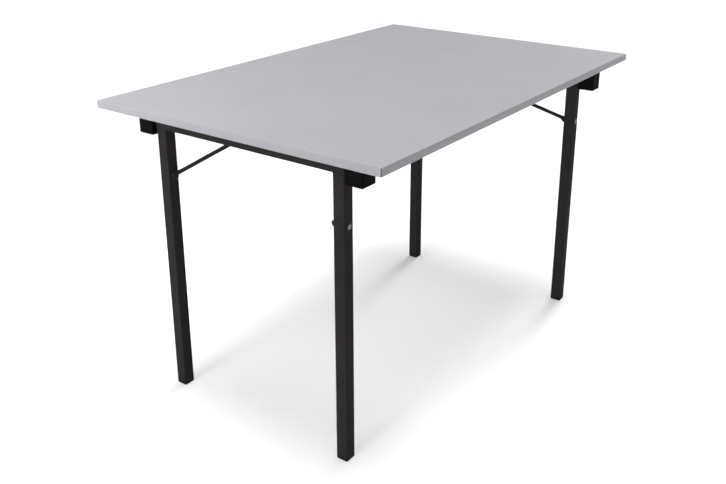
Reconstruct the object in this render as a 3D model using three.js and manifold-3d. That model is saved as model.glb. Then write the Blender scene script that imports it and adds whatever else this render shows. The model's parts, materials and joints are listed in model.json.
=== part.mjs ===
// Folding table: a melamine-faced board on two folding leg frames.
//
// Millimetres. +X runs along the board, +Y across it towards the rear, +Z up.
// The origin is on the floor, under the middle of the board.
//
// Each end of the board carries one leg frame: a crossbar that turns in two hinge blocks,
// two legs welded under it, and a bent wire stay that holds the frame upright. The stay's
// short middle bar sits in a hooked catch when the frame stands, and in a stow clip when
// the frame is folded flat. The two frames are shifted sideways in opposite directions, so
// that their legs lie next to each other when both are folded. The right end is the left
// end turned half a turn about Z.

import * as THREE from "three";
import { mergeVertices } from "three/addons/utils/BufferGeometryUtils.js";
import Module from "manifold-3d";

const wasm = await Module();
wasm.setup();

// ---------------------------------------------------------------- driving dimensions

// Board
const TOP_LENGTH = 1200;
const TOP_WIDTH = 800;
const TOP_THICKNESS = 18;
const TABLE_HEIGHT = 760;
const UNDERSIDE = TABLE_HEIGHT - TOP_THICKNESS;
const BAND_THICKNESS = 2;

// Square steel tube of the leg frames
const TUBE = 30;
const TUBE_WALL = 1.5;
const TUBE_CORNER = 3;
const TUBE_BORE = TUBE - 2 * TUBE_WALL;

// Leg frames
const FRAME_X = 495;
const LEG_SPREAD = 523;
const FRAME_SHIFT = 31;
const HINGE_DROP = 40;
const HINGE_Z = UNDERSIDE - HINGE_DROP;
const CROSSBAR_LENGTH = LEG_SPREAD + TUBE;
const LEG_TOP = HINGE_Z - TUBE / 2;

// Plastic inserts in the tube ends
const INSERT_GAP = 0.3;
const INSERT_SIZE = TUBE_BORE - 2 * INSERT_GAP;
const INSERT_CORNER = 1;
const FOOT_FLANGE = 5;
const FOOT_INSERT_DEPTH = 22;
const PLUG_FLANGE = 2.5;
const PLUG_INSERT_DEPTH = 24;

// Hinge blocks and pins
const BLOCK_LENGTH = 49;
const BLOCK_WIDTH = 46;
const BLOCK_HEIGHT = 71;
const BLOCK_CORNER = 3;
const BLOCK_GAP = 4.5;
const PIN_RADIUS = 6;
const PIN_CLEARANCE = 0.3;
const PIN_CHAMFER = 1;
const PIN_IN_PLUG = 20;
const PIN_IN_BLOCK = 30;
const BLOCK_SCREW_SPACING = 31;
const BLOCK_SEAT_Z = UNDERSIDE - 22;

// Wood screws
const SCREW_RADIUS = 2.4;
const SCREW_CLEARANCE = 0.4;
const SCREW_BITE = 12;
const SCREW_POINT = 3;
const SCREW_HEAD_RADIUS = 4.7;
const SCREW_HEAD_HEIGHT = 3;
const COUNTERBORE_RADIUS = 5.4;

// Stay: round wire bent into a wide V with a short middle bar
const STAY_RADIUS = 5;
const STAY_REACH = 257;
const STAY_BAR_DROP = 14;
const STAY_BAR_Z = UNDERSIDE - STAY_BAR_DROP;
const STAY_BAR_HALF = 45;
const STAY_BEND_RADIUS = 14;
const STAY_LEG_GAP = 1;
const EYE_THICKNESS = 5;
const EYE_RADIUS = 9;
const EYE_TAB = 12;
const STAY_STRAIGHT = 13;
const STAY_START = 8;

// Button-head flange bolt and thin nut that join the stay to each leg
const BOLT_Z = UNDERSIDE - 171;
const BOLT_RADIUS = 4;
const BOLT_CLEARANCE = 0.3;
const BOLT_TIP = 3.5;
const FLANGE_RADIUS = 8.9;
const FLANGE_THICKNESS = 1;
const HEAD_RADIUS = 5;
const HEAD_HEIGHT = 1.2;
const SOCKET_RADIUS = 2.3;
const SOCKET_DEPTH = 1.6;
const NUT_RADIUS = 7.5;
const NUT_HEIGHT = 4;

// Stay catch, its spring and the stow clip
const CATCH_BASE = 2.5;
const CATCH_CHEEK = 3;
const CATCH_CHEEK_Y = 22;
const CATCH_SLOT_RADIUS = 5.5;
const CATCH_HALF_WIDTH = 37;
const CATCH_SCREW_X = 17;
const CATCH_SCREW_Y = 30.5;
const CATCH_LENGTH = 62;
const CATCH_FRONT = 14;
const HOOK_FRONT = 13;
const HOOK_CHIN = 13;
const HOOK_LOWER_LIP = 12;
const HOOK_UPPER_LIP = 9;
const HOOK_ROOT = 22;
const SPRING_THICKNESS = 1.2;
const SPRING_WIDTH = 16;
const SPRING_FOOT_END = 45;
const SPRING_FOOT_BEND = 27;
const RIVET_X = 36;
const RIVET_RADIUS = 1.6;
const RIVET_CLEARANCE = 0.3;
const RIVET_HEAD_RADIUS = 3.2;
const RIVET_HEAD_HEIGHT = 1.2;
const CLIP_THICKNESS = 1.5;
const CLIP_WIDTH = 18;
const CLIP_SCREW_X = 19;
const CLIP_TAB_END = 7;
const CLIP_REACH = 9;
const CLIP_FLARE = 5;
const CLIP_BACK_FLARE = 2;

// ---------------------------------------------------------------- the folding geometry

// Seen from the side, the stay runs from the leg bolt up and inwards to its middle bar.
const BOLT_ARM = HINGE_Z - BOLT_Z;
const STAY_RISE = STAY_BAR_Z - BOLT_Z;
const STAY_SPAN = Math.hypot(STAY_REACH, STAY_RISE);
const STAY_ANGLE = Math.atan2(STAY_RISE, STAY_REACH);
const FOLDED_ANGLE = Math.asin((STAY_BAR_Z - HINGE_Z) / STAY_SPAN);
// The stay turns this much, against the frame, for each unit that the frame folds.
const STAY_RATIO = -(Math.PI / 2 + STAY_ANGLE - FOLDED_ANGLE) / (Math.PI / 2);
// Middle bar's place with the frame standing and folded, in from the frame's own hinge.
const STANDING_BAR_X = STAY_REACH;
const FOLDED_BAR_X = BOLT_ARM + STAY_SPAN * Math.cos(FOLDED_ANGLE);
// Slope at which the bar leaves the catch when the frame starts to fold.
const EXIT_ANGLE = Math.atan2(
  STAY_REACH * (1 + STAY_RATIO),
  BOLT_ARM - STAY_RISE * (1 + STAY_RATIO),
);

// ---------------------------------------------------------------- materials

const melamine = new THREE.MeshStandardMaterial({ color: 0xbfbdc2, roughness: 0.45, metalness: 0 });
const edging = new THREE.MeshStandardMaterial({ color: 0xc2c0c5, roughness: 0.4, metalness: 0 });
const powderCoat = new THREE.MeshStandardMaterial({ color: 0x262527, roughness: 0.5, metalness: 0.2 });
const blackPlastic = new THREE.MeshStandardMaterial({ color: 0x151516, roughness: 0.6, metalness: 0 });
const zincSteel = new THREE.MeshStandardMaterial({ color: 0x9a9b9e, roughness: 0.35, metalness: 1 });
const blackZinc = new THREE.MeshStandardMaterial({ color: 0x2b2b2d, roughness: 0.35, metalness: 0.8 });
const springSteel = new THREE.MeshStandardMaterial({ color: 0x5d5f63, roughness: 0.35, metalness: 1 });

// ---------------------------------------------------------------- shape helpers

const ROUND_SIDES = 16;
const SCREW_SIDES = 8;
const CORNER_STEPS = 1;

function toSolid(geometry) {
  const bare = geometry.clone();
  bare.deleteAttribute("normal");
  bare.deleteAttribute("uv");
  const merged = mergeVertices(bare, 1e-4);
  const triVerts = Uint32Array.from(merged.index.array);
  const vertProperties = Float32Array.from(merged.attributes.position.array);
  return new wasm.Manifold(new wasm.Mesh({ numProp: 3, vertProperties, triVerts }));
}

function toGeometry(solid) {
  const result = solid.getMesh();
  const geometry = new THREE.BufferGeometry();
  geometry.setAttribute("position", new THREE.BufferAttribute(result.vertProperties, 3));
  geometry.setIndex(new THREE.BufferAttribute(result.triVerts, 1));
  geometry.computeVertexNormals();
  return geometry;
}

function join(geometries) {
  return toGeometry(geometries.map(toSolid).reduce((whole, piece) => whole.add(piece)));
}

function cut(geometry, holes) {
  return toGeometry(holes.map(toSolid).reduce((whole, hole) => whole.subtract(hole), toSolid(geometry)));
}

function roundedSquare(size, corner) {
  const half = size / 2;
  const arm = half - corner;
  const shape = new THREE.Shape();
  shape.moveTo(half, -arm);
  shape.lineTo(half, arm);
  shape.absarc(arm, arm, corner, 0, Math.PI / 2);
  shape.lineTo(-arm, half);
  shape.absarc(-arm, arm, corner, Math.PI / 2, Math.PI);
  shape.lineTo(-half, -arm);
  shape.absarc(-arm, -arm, corner, Math.PI, Math.PI * 1.5);
  shape.lineTo(arm, -half);
  shape.absarc(arm, -arm, corner, Math.PI * 1.5, Math.PI * 2);
  return shape;
}

// Extrusion upwards from z = bottom.
function prism(shape, bottom, height) {
  const settings = { depth: height, bevelEnabled: false, curveSegments: CORNER_STEPS };
  return new THREE.ExtrudeGeometry(shape, settings).translate(0, 0, bottom);
}

// Extrusion of an outline drawn in X and Z, centred on y = middle.
function slab(shape, middle, width, steps = CORNER_STEPS) {
  const settings = { depth: width, bevelEnabled: false, curveSegments: steps };
  const geometry = new THREE.ExtrudeGeometry(shape, settings);
  return geometry.rotateX(Math.PI / 2).translate(0, middle + width / 2, 0);
}

function cylinderZ(radius, bottom, top, sides = SCREW_SIDES) {
  const geometry = new THREE.CylinderGeometry(radius, radius, top - bottom, sides);
  return geometry.rotateX(Math.PI / 2).translate(0, 0, (bottom + top) / 2);
}

function cylinderY(radius, start, end, sides = ROUND_SIDES) {
  return new THREE.CylinderGeometry(radius, radius, end - start, sides).translate(0, (start + end) / 2, 0);
}

// Solid of revolution about Y from [radius, y] pairs that start and end on the axis.
function turned(profile, sides = ROUND_SIDES) {
  return new THREE.LatheGeometry(profile.map(([radius, y]) => new THREE.Vector2(radius, y)), sides);
}

function polygon(points) {
  return new THREE.Shape(points.map(([x, z]) => new THREE.Vector2(x, z)));
}

// Outline of a thin strip that follows a line of points at an even thickness.
function stripOutline(points, thickness) {
  const line = points.map(([x, z]) => new THREE.Vector2(x, z));
  const side = (index, sign) => {
    const before = line[Math.max(index - 1, 0)];
    const after = line[Math.min(index + 1, line.length - 1)];
    const here = line[index];
    const into = here.clone().sub(before).normalize();
    const out = after.clone().sub(here).normalize();
    const along = into.clone().add(out).normalize();
    const across = new THREE.Vector2(-along.y, along.x);
    const straight = into.lengthSq() > 0 ? into : out;
    const widen = 1 / Math.abs(straight.dot(along));
    return here.clone().addScaledVector(across, (sign * thickness * widen) / 2);
  };
  const left = line.map((_, index) => side(index, 1));
  const right = line.map((_, index) => side(index, -1)).reverse();
  return new THREE.Shape([...right, ...left]);
}

// A route through corner points, each corner rounded by an arc of a few steps.
class BentWire extends THREE.Curve {
  constructor(corners, radius, stepsPerBend) {
    super();
    this.stations = [corners[0]];
    for (let i = 1; i < corners.length - 1; i += 1) {
      const into = corners[i].clone().sub(corners[i - 1]).normalize();
      const out = corners[i + 1].clone().sub(corners[i]).normalize();
      const turn = into.angleTo(out);
      const reach = radius * Math.tan(turn / 2);
      const inward = out.clone().sub(into).normalize();
      const centre = corners[i].clone().addScaledVector(inward, radius / Math.cos(turn / 2));
      const start = corners[i].clone().addScaledVector(into, -reach);
      const axis = new THREE.Vector3().crossVectors(into, out).normalize();
      for (let step = 0; step <= stepsPerBend; step += 1) {
        const arm = start.clone().sub(centre).applyAxisAngle(axis, (turn * step) / stepsPerBend);
        this.stations.push(centre.clone().add(arm));
      }
    }
    this.stations.push(corners[corners.length - 1]);
  }

  get steps() {
    return this.stations.length - 1;
  }

  // Parameter values fall evenly on the stations, not evenly along the length.
  getUtoTmapping(u) {
    return u;
  }

  getPoint(t, target = new THREE.Vector3()) {
    const place = t * this.steps;
    const index = Math.min(Math.floor(place), this.steps - 1);
    return target.lerpVectors(this.stations[index], this.stations[index + 1], place - index);
  }

  getTangent(t, target = new THREE.Vector3()) {
    const index = Math.round(t * this.steps);
    const before = this.stations[Math.max(index - 1, 0)];
    const here = this.stations[index];
    const after = this.stations[Math.min(index + 1, this.steps)];
    const into = here.clone().sub(before).normalize();
    const out = after.clone().sub(here).normalize();
    return target.copy(into).add(out).normalize();
  }
}

const table = new THREE.Group();

function addPiece(parent, name, geometry, material, position = [0, 0, 0]) {
  const mesh = new THREE.Mesh(geometry, material);
  mesh.name = name;
  mesh.position.set(...position);
  parent.add(mesh);
}

// ---------------------------------------------------------------- layout of one end

// The left end, with its wide side towards the rear. Each side gives its leg's middle and
// the direction outwards, away from the frame's own middle.
const SIDES = [
  { wide: true, y: FRAME_SHIFT + LEG_SPREAD / 2, outward: 1 },
  { wide: false, y: FRAME_SHIFT - LEG_SPREAD / 2, outward: -1 },
];

function blockMiddle(side) {
  return side.y + side.outward * (TUBE / 2 + BLOCK_GAP + BLOCK_LENGTH / 2);
}

// Places of all the screws that go up into the board at the left end.
function screwPlaces() {
  const places = [];
  for (const side of SIDES) {
    for (const offset of [-BLOCK_SCREW_SPACING / 2, BLOCK_SCREW_SPACING / 2]) {
      places.push([-FRAME_X + offset, blockMiddle(side)]);
    }
  }
  for (const sign of [-1, 1]) {
    places.push([-FRAME_X + STANDING_BAR_X + CATCH_SCREW_X, FRAME_SHIFT + sign * CATCH_SCREW_Y]);
  }
  places.push([-FRAME_X + FOLDED_BAR_X - CLIP_SCREW_X, FRAME_SHIFT]);
  return places;
}

// ---------------------------------------------------------------- board and edging

function addBoard() {
  const length = TOP_LENGTH - 2 * BAND_THICKNESS;
  const width = TOP_WIDTH - 2 * BAND_THICKNESS;
  const middleZ = UNDERSIDE + TOP_THICKNESS / 2;
  const board = new THREE.BoxGeometry(length, width, TOP_THICKNESS).translate(0, 0, middleZ);
  const pilots = [];
  for (const [x, y] of screwPlaces()) {
    for (const sign of [1, -1]) {
      const hole = cylinderZ(SCREW_RADIUS + SCREW_CLEARANCE, UNDERSIDE - 1, UNDERSIDE + SCREW_BITE + 1);
      pilots.push(hole.translate(sign * x, sign * y, 0));
    }
  }
  addPiece(table, "tabletop_board", cut(board, pilots), melamine);

  const long = new THREE.BoxGeometry(TOP_LENGTH, BAND_THICKNESS, TOP_THICKNESS);
  const short = new THREE.BoxGeometry(BAND_THICKNESS, width, TOP_THICKNESS);
  const outY = (TOP_WIDTH - BAND_THICKNESS) / 2;
  const outX = (TOP_LENGTH - BAND_THICKNESS) / 2;
  addPiece(table, "edge_band_front", long.clone(), edging, [0, -outY, middleZ]);
  addPiece(table, "edge_band_rear", long.clone(), edging, [0, outY, middleZ]);
  addPiece(table, "edge_band_left", short.clone(), edging, [-outX, 0, middleZ]);
  addPiece(table, "edge_band_right", short.clone(), edging, [outX, 0, middleZ]);
}

// ---------------------------------------------------------------- fasteners

// Pan-head wood screw, head down, its seat at z = 0 and its thread above.
function woodScrew(shank) {
  const profile = [
    [0, -SCREW_HEAD_HEIGHT],
    [SCREW_HEAD_RADIUS * 0.7, -SCREW_HEAD_HEIGHT],
    [SCREW_HEAD_RADIUS, -SCREW_HEAD_HEIGHT * 0.6],
    [SCREW_HEAD_RADIUS, 0],
    [SCREW_RADIUS, 0],
    [SCREW_RADIUS, shank - SCREW_POINT],
    [0, shank],
  ];
  return turned(profile, SCREW_SIDES).rotateX(Math.PI / 2);
}

function hexagon(radius, start, end) {
  return cylinderY(radius, start, end, 6);
}

// Button-head bolt with a flange and a hexagon socket; the shank runs towards +Y from y = 0.
function flangeBolt(shank) {
  const top = -FLANGE_THICKNESS - HEAD_HEIGHT;
  const profile = [
    [0, top],
    [HEAD_RADIUS * 0.55, top],
    [HEAD_RADIUS * 0.88, top + HEAD_HEIGHT * 0.4],
    [HEAD_RADIUS, -FLANGE_THICKNESS],
    [FLANGE_RADIUS - 0.5, -FLANGE_THICKNESS],
    [FLANGE_RADIUS, -FLANGE_THICKNESS + 0.6],
    [FLANGE_RADIUS, 0],
    [BOLT_RADIUS, 0],
    [BOLT_RADIUS, shank - 0.8],
    [BOLT_RADIUS - 0.8, shank],
    [0, shank],
  ];
  return cut(turned(profile), [hexagon(SOCKET_RADIUS, top - 1, top + SOCKET_DEPTH)]);
}

// Thin hexagon nut that fills y = 0 to its height.
function thinNut() {
  const hole = cylinderY(BOLT_RADIUS + BOLT_CLEARANCE, -1, NUT_HEIGHT + 1);
  return cut(hexagon(NUT_RADIUS, 0, NUT_HEIGHT), [hole]);
}

// ---------------------------------------------------------------- leg frame pieces

function tubeSection() {
  const section = roundedSquare(TUBE, TUBE_CORNER);
  section.holes.push(roundedSquare(TUBE_BORE, TUBE_CORNER - TUBE_WALL));
  return section;
}

function legTube() {
  const tube = prism(tubeSection(), FOOT_FLANGE, LEG_TOP - FOOT_FLANGE);
  const hole = cylinderY(BOLT_RADIUS + BOLT_CLEARANCE, -TUBE, TUBE).translate(0, 0, BOLT_Z);
  return cut(tube, [hole]);
}

function footCap() {
  const flange = prism(roundedSquare(TUBE, TUBE_CORNER), 0, FOOT_FLANGE);
  const section = roundedSquare(INSERT_SIZE, INSERT_CORNER);
  const insert = prism(section, FOOT_FLANGE / 2, FOOT_FLANGE / 2 + FOOT_INSERT_DEPTH);
  return join([flange, insert]);
}

function crossbarTube() {
  return prism(tubeSection(), -CROSSBAR_LENGTH / 2, CROSSBAR_LENGTH).rotateX(-Math.PI / 2);
}

// End plug of the crossbar, its flange outside the tube end at y = 0, bored for the pin.
function crossbarPlug() {
  const flange = prism(roundedSquare(TUBE, TUBE_CORNER), 0, PLUG_FLANGE);
  const insertHeight = PLUG_INSERT_DEPTH + PLUG_FLANGE / 2;
  const insert = prism(roundedSquare(INSERT_SIZE, INSERT_CORNER), -PLUG_INSERT_DEPTH, insertHeight);
  const bore = cylinderZ(PIN_RADIUS + PIN_CLEARANCE, -PLUG_INSERT_DEPTH - 1, PLUG_FLANGE + 1, ROUND_SIDES);
  return cut(join([flange, insert]), [bore]).rotateX(-Math.PI / 2);
}

function hingePin() {
  const length = PIN_IN_PLUG + BLOCK_GAP + PIN_IN_BLOCK;
  const tip = PIN_RADIUS - PIN_CHAMFER;
  const profile = [
    [0, 0],
    [tip, 0],
    [PIN_RADIUS, PIN_CHAMFER],
    [PIN_RADIUS, length - PIN_CHAMFER],
    [tip, length],
    [0, length],
  ];
  return turned(profile).translate(0, -PIN_IN_PLUG, 0);
}

// Block under the board, its bored face at y = 0 and its body towards +Y.
function hingeBlock() {
  const outline = roundedSquare(BLOCK_WIDTH, BLOCK_CORNER);
  const body = prism(outline, UNDERSIDE - BLOCK_HEIGHT, BLOCK_HEIGHT).translate(0, BLOCK_LENGTH / 2, 0);
  const bore = cylinderY(PIN_RADIUS + PIN_CLEARANCE, -1, PIN_IN_BLOCK + 1).translate(0, 0, HINGE_Z);
  const holes = [bore];
  for (const x of [-BLOCK_SCREW_SPACING / 2, BLOCK_SCREW_SPACING / 2]) {
    const sink = cylinderZ(COUNTERBORE_RADIUS, UNDERSIDE - BLOCK_HEIGHT - 1, BLOCK_SEAT_Z);
    const shank = cylinderZ(SCREW_RADIUS + SCREW_CLEARANCE, BLOCK_SEAT_Z - 1, UNDERSIDE + 1);
    holes.push(sink.translate(x, BLOCK_LENGTH / 2, 0), shank.translate(x, BLOCK_LENGTH / 2, 0));
  }
  return cut(body, holes);
}

// ---------------------------------------------------------------- stay

// The stay of the left end, its leg bolts' axis at x = 0, z = 0 and its middle at y = 0.
function stayWire() {
  const inner = (LEG_SPREAD - TUBE) / 2;
  const rodY = inner - STAY_LEG_GAP - STAY_RADIUS;
  const eyeY = inner - STAY_LEG_GAP - EYE_THICKNESS / 2;
  const cosine = Math.cos(STAY_ANGLE);
  const sine = Math.sin(STAY_ANGLE);
  const along = (distance, y) => new THREE.Vector3(distance * cosine, y, distance * sine);
  const corners = [
    along(STAY_START, rodY),
    along(STAY_STRAIGHT, rodY),
    along(STAY_SPAN, STAY_BAR_HALF),
    along(STAY_SPAN, -STAY_BAR_HALF),
    along(STAY_STRAIGHT, -rodY),
    along(STAY_START, -rodY),
  ];
  const route = new BentWire(corners, STAY_BEND_RADIUS, 4);
  const section = new THREE.Shape();
  section.absarc(0, 0, STAY_RADIUS, 0, Math.PI * 2);
  const settings = { steps: route.steps, extrudePath: route, curveSegments: 5 };
  const wire = new THREE.ExtrudeGeometry(section, settings);

  const outline = new THREE.Shape();
  outline.moveTo(EYE_TAB, -STAY_RADIUS);
  outline.lineTo(EYE_TAB, STAY_RADIUS);
  outline.lineTo(Math.sqrt(EYE_RADIUS ** 2 - STAY_RADIUS ** 2), STAY_RADIUS);
  const lean = Math.asin(STAY_RADIUS / EYE_RADIUS);
  outline.absarc(0, 0, EYE_RADIUS, lean, Math.PI * 2 - lean);
  const hole = new THREE.Path();
  hole.absarc(0, 0, BOLT_RADIUS + BOLT_CLEARANCE, 0, Math.PI * 2, true);
  outline.holes.push(hole);
  const eyes = [1, -1].map((sign) => slab(outline, 0, EYE_THICKNESS, 6)
    .rotateY(-STAY_ANGLE)
    .translate(0, sign * eyeY, 0));
  return join([wire, ...eyes]);
}

// ---------------------------------------------------------------- catch, spring and clip

// Hook plate drawn about the standing bar's axis: x inwards, z up.
function hookOutline(top) {
  const along = new THREE.Vector2(Math.cos(EXIT_ANGLE), Math.sin(EXIT_ANGLE));
  const across = new THREE.Vector2(-along.y, along.x);
  const wall = (distance, side) => [
    along.x * distance + across.x * CATCH_SLOT_RADIUS * side,
    along.y * distance + across.y * CATCH_SLOT_RADIUS * side,
  ];
  const shape = new THREE.Shape();
  shape.moveTo(-HOOK_FRONT, top);
  shape.lineTo(-HOOK_FRONT, -HOOK_CHIN / 3);
  shape.lineTo(-HOOK_FRONT * 0.7, -HOOK_CHIN * 0.77);
  shape.lineTo(-HOOK_FRONT * 0.4, -HOOK_CHIN);
  shape.lineTo(HOOK_LOWER_LIP * 0.65, -HOOK_CHIN);
  shape.lineTo(...wall(HOOK_LOWER_LIP, -1));
  shape.lineTo(...wall(0, -1));
  shape.absarc(0, 0, CATCH_SLOT_RADIUS, EXIT_ANGLE - Math.PI / 2, EXIT_ANGLE - Math.PI * 1.5, true);
  shape.lineTo(...wall(HOOK_UPPER_LIP, 1));
  shape.lineTo(HOOK_ROOT * 0.68, top * 0.3);
  shape.lineTo(HOOK_ROOT, top);
  return shape;
}

function stayCatch() {
  const top = STAY_BAR_DROP;
  const base = new THREE.BoxGeometry(CATCH_LENGTH, 2 * CATCH_HALF_WIDTH, CATCH_BASE);
  base.translate(CATCH_LENGTH / 2 - CATCH_FRONT, 0, top - CATCH_BASE / 2);
  const outline = hookOutline(top - CATCH_BASE / 2);
  const cheeks = [1, -1].map((sign) => slab(outline, sign * CATCH_CHEEK_Y, CATCH_CHEEK, 4));
  const holes = [1, -1].map((sign) => cylinderZ(SCREW_RADIUS + SCREW_CLEARANCE, 0, top + 1)
    .translate(CATCH_SCREW_X, sign * CATCH_SCREW_Y, 0));
  return cut(join([base, ...cheeks]), [...holes, rivetHole()]);
}

function rivetHole() {
  return cylinderZ(RIVET_RADIUS + RIVET_CLEARANCE, 0, STAY_BAR_DROP + 1).translate(RIVET_X, 0, 0);
}

// Leaf spring whose tip stands in the bar's way out; its foot lies under the catch's base.
function catchSpring() {
  const footZ = STAY_BAR_DROP - CATCH_BASE - SPRING_THICKNESS / 2;
  const elbow = [CATCH_SLOT_RADIUS + 2.4, -0.6];
  const tip = [CATCH_SLOT_RADIUS + 4.6, -CATCH_SLOT_RADIUS - 0.5];
  const points = [[SPRING_FOOT_END, footZ], [SPRING_FOOT_BEND, footZ], elbow, tip];
  return cut(slab(stripOutline(points, SPRING_THICKNESS), 0, SPRING_WIDTH), [rivetHole()]);
}

// Rivet that holds the spring's foot under the catch's base, its head at the bottom.
function springRivet() {
  const seat = STAY_BAR_DROP - CATCH_BASE - SPRING_THICKNESS;
  const profile = [
    [0, -RIVET_HEAD_HEIGHT],
    [RIVET_HEAD_RADIUS * 0.6, -RIVET_HEAD_HEIGHT],
    [RIVET_HEAD_RADIUS, -RIVET_HEAD_HEIGHT * 0.4],
    [RIVET_HEAD_RADIUS, 0],
    [RIVET_RADIUS, 0],
    [RIVET_RADIUS, CATCH_BASE + SPRING_THICKNESS - RIVET_CLEARANCE],
    [0, CATCH_BASE + SPRING_THICKNESS - RIVET_CLEARANCE],
  ];
  return turned(profile).rotateX(Math.PI / 2).translate(RIVET_X, 0, seat);
}

// Two-pronged clip about the folded bar's axis; its screw tab points towards the frame.
function stowClip() {
  const baseZ = STAY_BAR_DROP - CLIP_THICKNESS / 2;
  const outer = STAY_RADIUS + CLIP_THICKNESS / 2 + 1.15;
  const inner = outer - 0.2;
  const strips = [
    [[-CLIP_SCREW_X - CLIP_TAB_END, baseZ], [CLIP_REACH, baseZ]],
    [[-outer, baseZ], [-outer, STAY_RADIUS - 1.5], [-outer - CLIP_FLARE, -STAY_RADIUS - 1.5]],
    [[inner, baseZ], [inner, -STAY_RADIUS + 1.5], [inner + CLIP_BACK_FLARE, -STAY_RADIUS - 2]],
  ];
  const plates = strips.map((points) => slab(stripOutline(points, CLIP_THICKNESS), 0, CLIP_WIDTH));
  const hole = cylinderZ(SCREW_RADIUS + SCREW_CLEARANCE, 0, STAY_BAR_DROP + 1);
  return cut(join(plates), [hole.translate(-CLIP_SCREW_X, 0, 0)]);
}

// ---------------------------------------------------------------- one end of the table

function addEnd(end, turn) {
  const group = new THREE.Group();
  group.rotation.z = turn;
  table.add(group);

  const crossbarName = `crossbar_${end.name}`;
  addPiece(group, crossbarName, crossbarTube(), powderCoat, [-FRAME_X, FRAME_SHIFT, HINGE_Z]);
  addPiece(group, `stay_${end.name}`, stayWire(), powderCoat, [-FRAME_X, FRAME_SHIFT, BOLT_Z]);

  for (const side of SIDES) {
    const label = `${end.name}_${side.wide ? end.wideSide : end.narrowSide}`;
    const outerFace = side.y + (side.outward * TUBE) / 2;
    const innerFace = side.y - (side.outward * TUBE) / 2;
    const facing = new THREE.Group();
    // Inside this group +Y points outwards, away from the frame's middle.
    facing.position.set(-FRAME_X, 0, 0);
    facing.rotation.z = side.outward > 0 ? 0 : Math.PI;
    group.add(facing);
    const outerY = outerFace * side.outward;
    const innerY = innerFace * side.outward;

    addPiece(facing, `leg_${label}`, legTube(), powderCoat, [0, side.y * side.outward, 0]);
    addPiece(facing, `foot_cap_${label}`, footCap(), blackPlastic, [0, side.y * side.outward, 0]);
    addPiece(facing, `crossbar_plug_${label}`, crossbarPlug(), blackPlastic, [0, outerY, HINGE_Z]);
    addPiece(facing, `hinge_pin_${label}`, hingePin(), zincSteel, [0, outerY, HINGE_Z]);
    addPiece(facing, `hinge_block_${label}`, hingeBlock(), blackPlastic, [0, outerY + BLOCK_GAP, 0]);
    for (const [index, offset] of [-BLOCK_SCREW_SPACING / 2, BLOCK_SCREW_SPACING / 2].entries()) {
      const place = [offset, outerY + BLOCK_GAP + BLOCK_LENGTH / 2, BLOCK_SEAT_Z];
      const shank = UNDERSIDE + SCREW_BITE - BLOCK_SEAT_Z;
      addPiece(facing, `block_screw_${label}_${index + 1}`, woodScrew(shank), zincSteel, place);
    }

    const eyeInnerSide = STAY_LEG_GAP + EYE_THICKNESS + INSERT_GAP;
    const shank = TUBE + eyeInnerSide + NUT_HEIGHT + BOLT_TIP;
    const bolt = flangeBolt(shank).rotateX(Math.PI);
    const nut = thinNut().rotateX(Math.PI);
    addPiece(facing, `stay_bolt_${label}`, bolt, blackZinc, [0, outerY, BOLT_Z]);
    addPiece(facing, `stay_nut_${label}`, nut, blackZinc, [0, innerY - eyeInnerSide, BOLT_Z]);
  }

  const standing = [-FRAME_X + STANDING_BAR_X, FRAME_SHIFT, STAY_BAR_Z];
  const folded = [-FRAME_X + FOLDED_BAR_X, FRAME_SHIFT, STAY_BAR_Z];
  addPiece(group, `stay_catch_${end.name}`, stayCatch(), powderCoat, standing);
  addPiece(group, `catch_spring_${end.name}`, catchSpring(), springSteel, standing);
  addPiece(group, `spring_rivet_${end.name}`, springRivet(), zincSteel, standing);
  for (const sign of [1, -1]) {
    const place = [standing[0] + CATCH_SCREW_X, FRAME_SHIFT + sign * CATCH_SCREW_Y, UNDERSIDE - CATCH_BASE];
    const name = `catch_screw_${end.name}_${sign > 0 ? end.wideSide : end.narrowSide}`;
    addPiece(group, name, woodScrew(SCREW_BITE + CATCH_BASE), zincSteel, place);
  }
  addPiece(group, `stow_clip_${end.name}`, stowClip(), springSteel, folded);
  const clipScrew = [folded[0] - CLIP_SCREW_X, FRAME_SHIFT, UNDERSIDE - CLIP_THICKNESS];
  addPiece(group, `clip_screw_${end.name}`, woodScrew(SCREW_BITE + CLIP_THICKNESS), zincSteel, clipScrew);
}

addBoard();
addEnd({ name: "left", wideSide: "rear", narrowSide: "front" }, 0);
addEnd({ name: "right", wideSide: "front", narrowSide: "rear" }, Math.PI);

export default table;
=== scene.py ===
"""Looks of the folding table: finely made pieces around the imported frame.

The frame is in metres. Shapes are drawn in millimetres in a place of their own, and a place is
a matrix, so each shape is drawn once and used for every copy of it:
- the table's place is the frame's own,
- a leg's place has its origin on the floor under the leg's middle, with +Y outwards,
- an end's place has its origin on the floor under the hinge line's middle, with +X towards the
  middle of the table.
"""

import json
import math

import bmesh
import bpy
from mathutils import Matrix, Vector


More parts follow.
